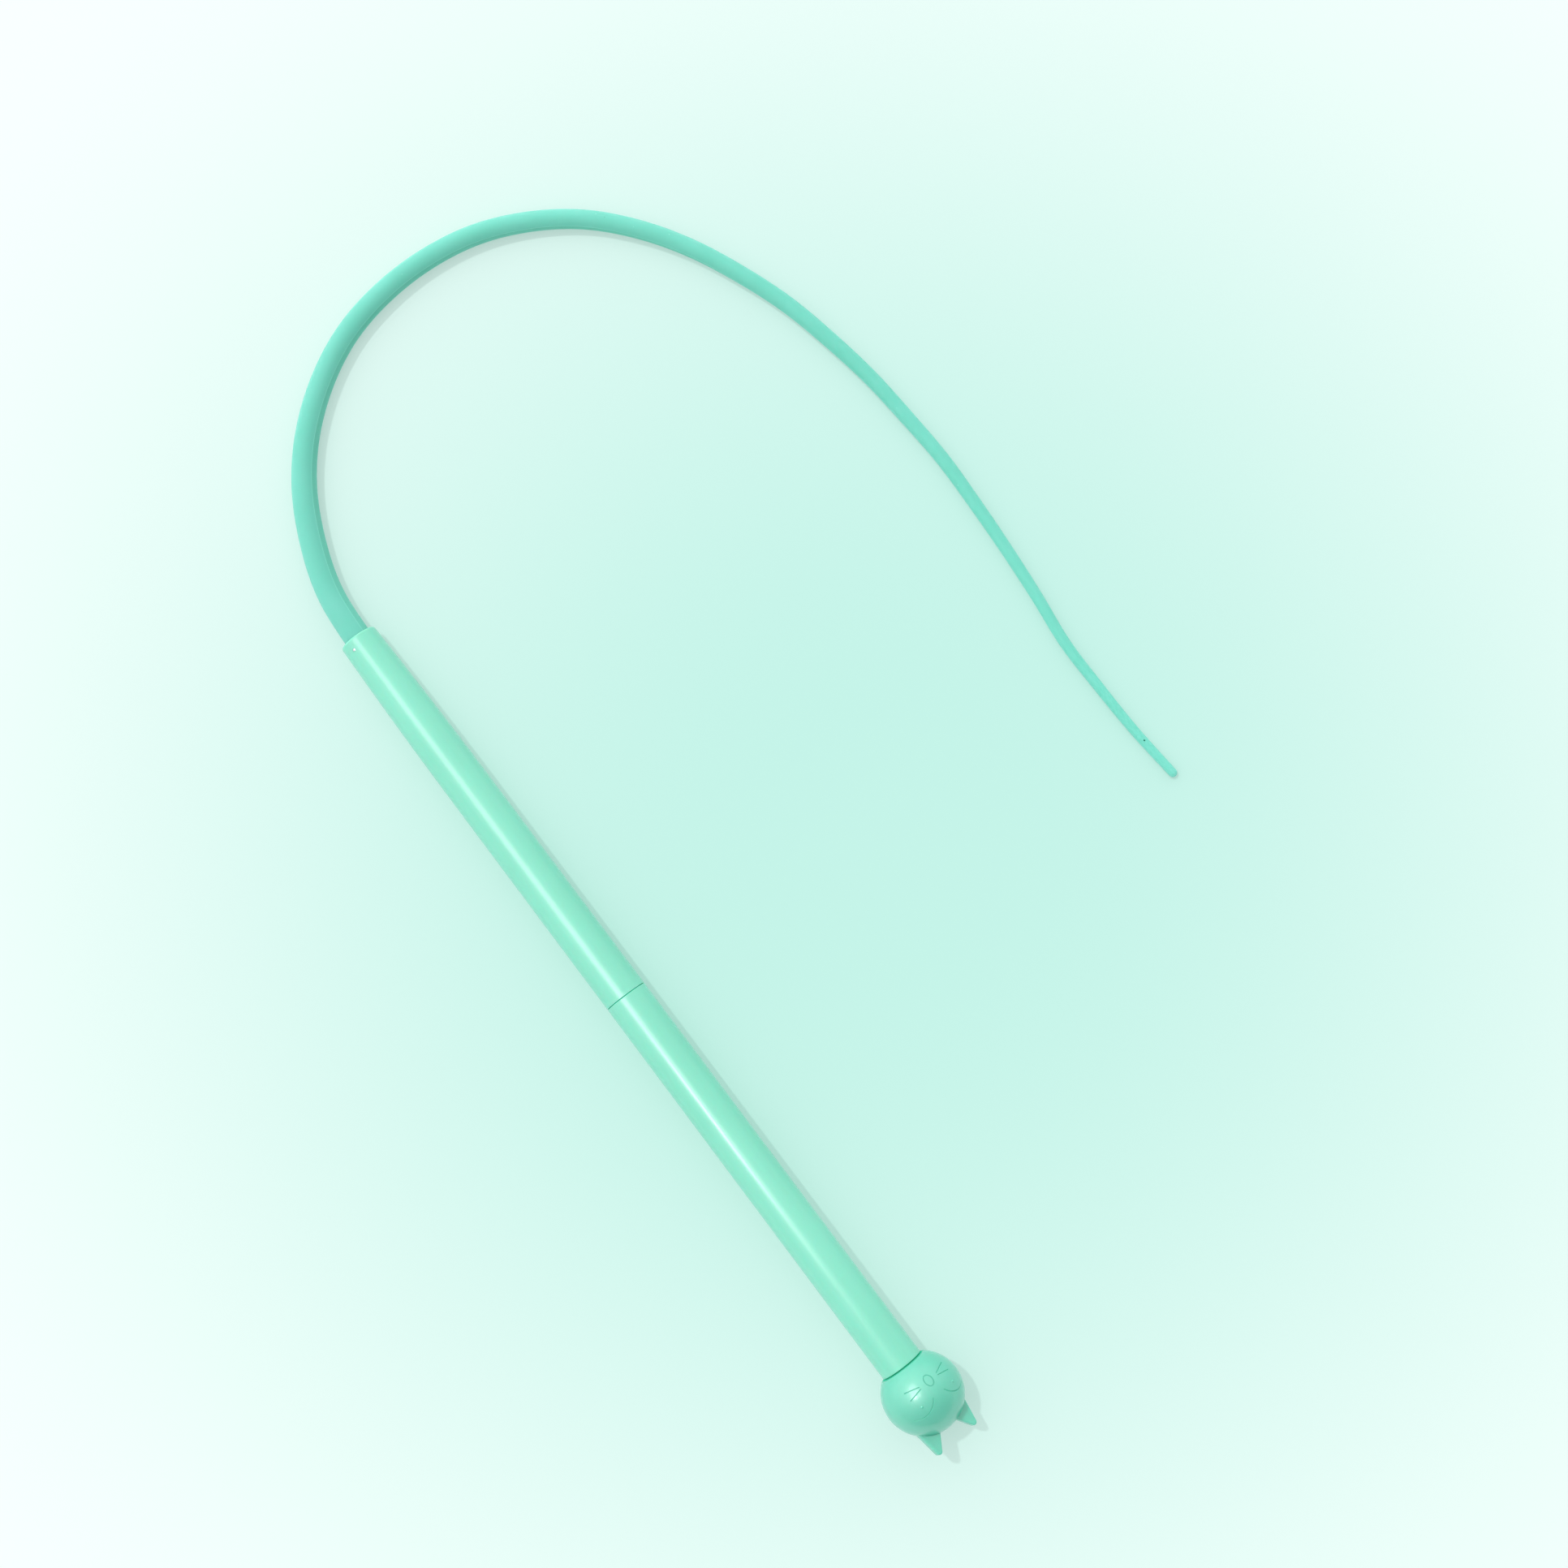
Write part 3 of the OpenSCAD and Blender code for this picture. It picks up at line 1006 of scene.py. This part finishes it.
@dataclass
class Tail:
    """The tapered silicone tail, from the anchor inside the upper tube to the round tip.

    Attributes:
        layout: Where it comes out of the handle.
        root_d: Diameter where it leaves the mouth.
        tip_d: Diameter at the tip.
        anchor_d: Diameter of the anchor behind the lip.
        anchor_len: Length of the anchor.
        anchor_chamfer: Chamfer of the anchor.
        lip_len: Length of the stretch that the lip holds.
        route: Places of the centreline in plan, from the mouth.
        drop_shares: How much of the mouth's height the first places still have.
        sides: Sides of the tube.
        step_rings: Rings in each step of the route.
        tip_rings: Rings that round the tip.
        line_shares: Places along the free tail where the moulding line's turn is given.
        line_turns: The line's turn there, in degrees from the top towards the curve's inside.
        ridge_h: Height of the moulding line.
        ridge_w: Width of the moulding line.
        vent: The place near the tip where the mould's vent left its mark.
        vent_r: The radius of that mark.
        rings: The rings' centres, radii and shares of the free length, from the anchor on.
    """

    # The name of the map on its surface.
    MAP = "around_and_along"

    layout: Layout
    root_d: float = 0.009
    tip_d: float = 0.0029
    anchor_d: float = 0.0099
    anchor_len: float = 0.012
    anchor_chamfer: float = 0.0006
    lip_len: float = 0.008
    route: tuple[tuple[float, float], ...] = (
        (0, 0), (0.018, -0.0015), (0.035, -0.007), (0.051, -0.0155), (0.0645, -0.027),
        (0.0755, -0.0415), (0.083, -0.0575), (0.0865, -0.075), (0.0865, -0.093),
        (0.083, -0.1105), (0.0755, -0.127), (0.065, -0.1415), (0.0515, -0.1535),
        (0.0365, -0.163), (0.020, -0.1705), (0.003, -0.1765), (-0.0145, -0.1805),
        (-0.0325, -0.1835), (-0.050, -0.185), (-0.068, -0.186), (-0.086, -0.1855),
        (-0.104, -0.1845), (-0.122, -0.183), (-0.140, -0.181), (-0.158, -0.181),
        (-0.176, -0.1815), (-0.194, -0.183),
    )
    drop_shares: tuple[float, ...] = (1, 0.4, 0.06)
    sides: int = 64
    step_rings: int = 8
    tip_rings: int = 6
    line_shares: tuple[float, ...] = (0, 0.12, 0.26, 0.39, 0.5, 0.57, 0.75, 1)
    line_turns: tuple[float, ...] = (43, 47, 54, 58, 64, 92, 100, 104)
    ridge_h: float = 0.00005
    ridge_w: float = 0.0004
    vent: Place = (0.0374, -0.18193, -0.0082)
    vent_r: float = 0.00032
    rings: list[tuple[Vector, float, float]] = field(default_factory=list)

    def _places(self) -> list[Vector]:
        """Works out the free tail's places as it lies on the floor.

        Returns:
            The places, from the mouth to the tip.
        """
        mouth = self.layout.on_axis(self.layout.mouth_x)
        lift = mouth.z - self.layout.floor_z - self.root_d / 2
        last = len(self.route) - 1
        places = []
        for i, (x, y) in enumerate(self.route):
            held = self.drop_shares[i] if i < len(self.drop_shares) else 0
            height = self.layout.floor_z + self._radius(i / last) + lift * held
            places.append(Vector((mouth.x + x, y, height)))
        return places

    def _radius(self, share: float) -> float:
        """Gives the tail's radius at a share of its free length."""
        return (self.root_d + (self.tip_d - self.root_d) * share) / 2

    def _lay_rings(self) -> None:
        """Works out the rings' centres, radii and shares, from the anchor to the tip."""
        lay, root_r, anchor_r = self.layout, self.root_d / 2, self.anchor_d / 2
        lip_x = lay.mouth_x - self.lip_len
        anchor_x = lip_x - self.anchor_len
        held = [
            (anchor_x, anchor_r - self.anchor_chamfer),
            (anchor_x + self.anchor_chamfer, anchor_r),
            (lip_x - self.anchor_chamfer, anchor_r),
            (lip_x, root_r),
            (lay.mouth_x, root_r),
        ]
        self.rings = [(lay.on_axis(x), radius, 0.0) for x, radius in held]
        places = self._places()
        last = len(places) - 1
        step = (places[1] - places[0]).length
        line = [lay.on_axis(lay.mouth_x - step), *places, 2 * places[-1] - places[-2]]
        for i in range(last):
            for k in range(1, self.step_rings + 1):
                centre = curve(line[i : i + 4], k / self.step_rings)
                share = (i + k / self.step_rings) / last
                self.rings.append((centre, self._radius(share), share))
        way = (line[-1] - places[-1]).normalized()
        tip_r = self.tip_d / 2
        for k in range(1, self.tip_rings):
            angle = math.pi / 2 * k / self.tip_rings
            centre = places[-1] + way * tip_r * math.sin(angle)
            self.rings.append((centre, tip_r * math.cos(angle), 1.0))

    def _ring_points(self, i: int) -> list[Vector]:
        """Gives a ring's points, the first one on the moulding line.

        Args:
            i: The ring's number.

        Returns:
            Its points, square to the way from the ring before to the ring after.
        """
        centre, radius, share = self.rings[i]
        after, before = self.rings[min(i + 1, len(self.rings) - 1)], self.rings[max(i - 1, 0)]
        way = (after[0] - before[0]).normalized()
        inner = -Vector((0, 0, 1)).cross(way).normalized()
        up = way.cross(-inner)
        start = math.radians(between(share, self.line_shares, self.line_turns))
        free = 1.0 if 0 < share < 1 else 0.0
        half = self.ridge_w / 2 / radius
        points = []
        for k in range(self.sides):
            angle = 2 * math.pi * k / self.sides
            near = min(k, self.sides - k)
            if near == 1:
                angle = half if k == 1 else -half
            away = radius + (self.ridge_h * free if near == 0 else 0)
            turn = start + angle
            points.append(centre + away * (math.sin(turn) * inner + math.cos(turn) * up))
        return points

    def build(self) -> bpy.types.Object:
        """Sweeps the tail ring by ring and closes both ends.

        Returns:
            The finished piece.
        """
        self._lay_rings()
        mesh = bmesh.new()
        ring = bmesh.ops.create_circle(mesh, segments=self.sides, radius=1)["verts"]
        numbers: Numbers = {}
        for i in range(len(self.rings)):
            if i:
                edges = [mesh.edges.get((ring[k - 1], ring[k])) for k in range(self.sides)]
                grown = bmesh.ops.extrude_edge_only(mesh, edges=edges)["geom"]
                fresh = {v for v in grown if isinstance(v, bmesh.types.BMVert)}
                ring = [
                    next(e.other_vert(v) for e in v.link_edges if e.other_vert(v) in fresh)
                    for v in ring
                ]
            for k, (vert, point) in enumerate(zip(ring, self._ring_points(i))):
                vert.co = point
                numbers[vert] = (i, k)
        self._close(mesh, numbers)
        self._unroll(mesh, numbers)
        bmesh.ops.recalc_face_normals(mesh, faces=mesh.faces)
        piece = new_piece("soft_tail", mesh)
        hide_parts("tail")
        path = [centre for centre, _, _ in self.rings]
        self.layout.on_axis(self.layout.mouth_x)
        sum((b - a).length for a, b in zip(path, path[1:]))
        return piece

    def dress(self) -> None:
        """Builds the tail and gives it its finish."""
        silicone = Silicone(
            name="teal silicone",
            colour=srgb(120, 198, 183),
            map_name=self.MAP,
            # The painted shade on the half of the tail turned away from the light, also the cloudy
            # patches' colour.
            deep=srgb(111, 193, 175),
            line=srgb(150, 220, 206),
            dust=srgb(190, 235, 225),
            dark=srgb(10, 90, 68),
            vent=self.vent,
            vent_r=self.vent_r,
            rough=0.55,
        )
        dress(self.build(), silicone.make(), Body.FRONT)

    def _close(self, mesh: bmesh.types.BMesh, numbers: Numbers) -> None:
        """Closes the anchor's flat end and the round tip.

        Args:
            mesh: The swept tube.
            numbers: Each point's ring and side.
        """
        first = [v for v, (i, _) in numbers.items() if i == 0]
        last = [v for v, (i, _) in numbers.items() if i == len(self.rings) - 1]
        for ring in (first, last):
            rim = [e for e in mesh.edges if e.is_boundary and e.verts[0] in ring]
            filled = bmesh.ops.edgeloop_fill(mesh, edges=rim)["faces"]
            middle = bmesh.ops.poke(mesh, faces=filled)["verts"][0]
            numbers[middle] = (numbers[ring[0]][0], 0)
            if ring is last:
                centre = self.rings[-1][0]
                way = (centre - self.rings[-2][0]).normalized()
                rest = self.tip_d / 2 * (1 - math.sin(math.pi / 2 * (1 - 1 / self.tip_rings)))
                middle.co = centre + way * rest

    def _unroll(self, mesh: bmesh.types.BMesh, numbers: Numbers) -> None:
        """Writes the map: round the tail from the moulding line, and along the tail in metres.

        Args:
            mesh: The swept tube.
            numbers: Each point's ring and side.
        """
        layer = mesh.loops.layers.uv.new(self.MAP)
        along = [0.0]
        for (a, _, _), (b, _, _) in zip(self.rings, self.rings[1:]):
            along.append(along[-1] + (b - a).length)
        for face in mesh.faces:
            used = [numbers[v][1] for v in face.verts]
            closing = max(used) - min(used) > self.sides / 2
            for loop in face.loops:
                i, k = numbers[loop.vert]
                loop[layer].uv = ((self.sides if closing and k == 0 else k) / self.sides, along[i])


@dataclass
class TailPin:
    """The small steel pin through the mouth, whose domed end shows.

    Attributes:
        layout: Where it crosses the handle.
        pin_d: Its diameter.
        pin_len: Its length.
        inset: Its distance from the mouth.
        turn: How far it is turned from the top.
        dome_h: Height of its domed end.
        chamfer: Chamfer of its hidden end.
        dome_steps: Steps in the dome's outline.
        sides: Sides of the pin.
        weld: Distance under which points are one.
    """

    layout: Layout
    pin_d: float = 0.001
    pin_len: float = 0.0116
    inset: float = 0.0036
    turn: float = math.radians(-25)
    dome_h: float = 0.00012
    chamfer: float = 0.00012
    dome_steps: int = 6
    sides: int = 32
    weld: float = 1e-7

    def build(self) -> bpy.types.Object:
        """Spins the pin's outline.

        Returns:
            The finished piece.
        """
        mesh = bmesh.new()
        r, top = self.pin_d / 2, self.layout.nose_r(self.inset)
        bottom = top - self.pin_len
        outline = [(0, bottom), (r - self.chamfer, bottom), (r, bottom + self.chamfer)]
        for k in range(self.dome_steps + 1):
            angle = math.pi / 2 * k / self.dome_steps
            outline.append((r * math.cos(angle), top - self.dome_h * (1 - math.sin(angle))))
        verts = [mesh.verts.new((x, 0, z)) for x, z in outline]
        edges = [mesh.edges.new(pair) for pair in zip(verts, verts[1:])]
        bmesh.ops.spin(
            mesh,
            geom=verts + edges,
            cent=(0, 0, 0),
            axis=(0, 0, 1),
            angle=2 * math.pi,
            steps=self.sides,
            use_merge=True,
        )
        bmesh.ops.remove_doubles(mesh, verts=mesh.verts, dist=self.weld)
        bmesh.ops.recalc_face_normals(mesh, faces=mesh.faces)
        place = (
            self.layout.laid()
            @ Matrix.Translation((self.layout.mouth_x - self.inset, 0, 0))
            @ Matrix.Rotation(self.turn, 4, "X")
        )
        bmesh.ops.transform(mesh, matrix=place, verts=mesh.verts)
        piece = new_piece("domed_tail_pin", mesh)
        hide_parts("tail_pin")
        return piece

    def dress(self) -> None:
        """Builds the pin and gives it its finish."""
        steel = DrawnSteel(name="bright steel wire", colour=(0.78, 0.79, 0.79))
        dress(self.build(), steel.make(), Body.FRONT)


@dataclass(frozen=True)
class Lamp:
    """A light of the studio.

    Attributes:
        name: Its name.
        at: Its place; for a sun, the direction that it comes from.
        power: Its strength.
    """

    name: str
    at: Place
    power: float

    def put(self, data: bpy.types.Light, turn: Matrix) -> bpy.types.Object:
        """Puts the light in its place.

        Args:
            data: The light.
            turn: How it is turned.

        Returns:
            The lamp.
        """
        data.energy = self.power
        lamp = bpy.data.objects.new(self.name, data)
        bpy.context.scene.collection.objects.link(lamp)
        lamp.matrix_world = Matrix.Translation(self.at) @ turn
        return lamp


@dataclass(frozen=True)
class Sun(Lamp):
    """Light from far away that lights surfaces but isn't mirrored in them.

    Attributes:
        spread: How wide it looks, in degrees; a wide one gives soft shadows.
    """

    spread: float

    def hang(self) -> None:
        """Puts the sun up, shining from its direction towards the origin."""
        data = bpy.data.lights.new(self.name, "SUN")
        data.angle = math.radians(self.spread)
        turn = Vector(self.at).to_track_quat("Z", "Y").to_matrix().to_4x4()
        self.put(data, turn).visible_glossy = False


@dataclass(frozen=True)
class Panel(Lamp):
    """A flat lamp over the wand that faces down and only shows as a highlight.

    Attributes:
        size: Its length along X and along Y.
    """

    size: tuple[float, float]

    def hang(self) -> None:
        """Hangs the panel up."""
        data = bpy.data.lights.new(self.name, "AREA")
        data.shape = "RECTANGLE"
        data.size, data.size_y = self.size
        self.put(data, Matrix()).visible_diffuse = False


@dataclass
class Studio:
    """The floor, the lights and the camera.

    Attributes:
        layout: How the wand lies in it.
        floor_side: Side of the floor.
        floor_middle: Where the floor's colour is deepest.
        floor_colour: The floor's colour there.
        floor_pale: Its colour far out.
        painted_glow_share: How much of the floor's light is its own painted glow.
        camera_at: The camera's place.
        aim: The place on the floor that it looks at.
        camera_up: The way that is up in the picture.
        film: Width of its film, in millimetres.
        lens: Its focal length, in millimetres.
        near: Distance from which on it sees.
        sky: The daylight's colour.
        sky_low: The daylight's strength on the dark side.
        window_gain: How much stronger it is on the window's side.
        window_at: The direction of the window.
        window_from: How far towards the window it starts to grow stronger.
        window_to: How far towards the window it is strongest.
        lights: The key for the shadow, a fill, and two panels that show as highlights.
    """

    layout: Layout
    floor_side: float = 16.0
    floor_middle: tuple[float, float] = (0.066, -0.1)
    floor_colour: Colour = (0.5, 0.8, 0.72)
    floor_pale: Colour = (0.86, 0.92, 0.9)
    painted_glow_share: float = 0.5
    camera_at: Place = (0.04874, -0.08173, 0.81412)
    aim: Place = (0.09663, -0.08127, -0.01134)
    camera_up: Place = (0.79461, -0.60540, 0.04576)
    film: float = 36
    lens: float = 58.62
    near: float = 0.01
    sky: Colour = (0.95, 1.0, 0.99)
    sky_low: float = 0.27
    window_gain: float = 1.13
    window_at: Place = (1, -0.1, 0)
    window_from: float = -1.0
    window_to: float = 0.9
    lights: tuple[Sun | Panel, ...] = (
        Sun(name="key", at=(0.446, 0.058, 0.893), power=1.05, spread=2),
        Sun(name="fill", at=(-0.65, 0.4, 0.6), power=0.42, spread=90),
        Panel(name="softbox", at=(0.21, 0.14, 0.55), power=1.9, size=(0.48, 0.28)),
        Panel(name="lamp", at=(0.036, 0.18, 0.54), power=0.46, size=(0.034, 0.06)),
    )

    def place_camera(self) -> None:
        """Puts the camera above the wand, turned as the picture is."""
        data = bpy.data.cameras.new("camera")
        data.sensor_width = self.film
        data.lens = self.lens
        data.clip_start = self.near
        camera = bpy.data.objects.new("camera", data)
        bpy.context.scene.collection.objects.link(camera)
        at = Vector(self.camera_at)
        back = (at - Vector(self.aim)).normalized()
        right = Vector(self.camera_up).cross(back).normalized()
        axes = Matrix((right, back.cross(right), back)).transposed()
        camera.matrix_world = Matrix.Translation(at) @ axes.to_4x4()
        bpy.context.scene.camera = camera

    def lay_floor(self) -> None:
        """Lays the pale floor under the wand."""
        mesh = bmesh.new()
        bmesh.ops.create_grid(mesh, x_segments=1, y_segments=1, size=self.floor_side / 2)
        bmesh.ops.translate(mesh, vec=(0, 0, self.layout.floor_z), verts=mesh.verts)
        floor = new_piece("floor", mesh)
        paint = Backdrop(
            name="pale mint floor",
            colour=self.floor_colour,
            pale=self.floor_pale,
            middle=(*self.floor_middle, self.layout.floor_z),
            painted_glow_share=self.painted_glow_share,
        )
        floor.data.materials.append(paint.make())

    def light(self) -> None:
        """Lights the wand with daylight that is brighter on a window's side, and the lamps."""
        recipe = Recipe(bpy.data.worlds.new("daylight"))
        way = recipe.add("ShaderNodeTexCoord").outputs["Generated"]
        window = recipe.towards(way, self.window_at).rises(self.window_from, self.window_to)
        strength = self.sky_low + window * self.window_gain
        sky = recipe.add(
            "ShaderNodeBackground", None, {"Color": self.sky, "Strength": strength}
        )
        recipe.add("ShaderNodeOutputWorld", None, {"Surface": sky.outputs[0]})
        bpy.context.scene.world = recipe.block
        for light in self.lights:
            light.hang()


def new_piece(name: str, mesh: bmesh.types.BMesh) -> bpy.types.Object:
    """Makes an object of a finished mesh, smooth but for its sharp edges.

    Args:
        name: The piece's name.
        mesh: Its mesh, in place.

    Returns:
        The object, at the origin.
    """
    for edge in mesh.edges:
        edge.smooth = len(edge.link_faces) != 2 or edge.calc_face_angle() < SHARP_ANGLE
    for face in mesh.faces:
        face.smooth = True
    data = bpy.data.meshes.new(name)
    mesh.to_mesh(data)
    mesh.free()
    piece = bpy.data.objects.new(name, data)
    bpy.context.scene.collection.objects.link(piece)
    return piece


def dress(piece: bpy.types.Object, material: bpy.types.Material, body: Body) -> None:
    """Gives a piece its finish, and a piece made here the body that it rides on.

    Args:
        piece: The piece, made here or packed.
        material: Its material.
        body: The body that it moves with.
    """
    piece.data.materials.clear()
    piece.data.materials.append(material)
    if piece.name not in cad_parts:
        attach(piece, body.value)
    LOG.info("%s: %d faces, %s", piece.name, len(piece.data.polygons), material.name)


def main() -> None:
    """Sets up the studio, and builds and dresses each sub-assembly."""
    logging.basicConfig(level=logging.INFO, format="%(name)s: %(message)s")
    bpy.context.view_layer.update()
    bpy.context.scene.view_settings.view_transform = "Standard"
    layout = Layout()
    studio = Studio(layout)
    studio.place_camera()
    for assembly in (Tail(layout), TailPin(layout), Tubes(layout), Head(layout)):
        assembly.dress()
    studio.lay_floor()
    studio.light()


if __name__ == "__main__":
    main()
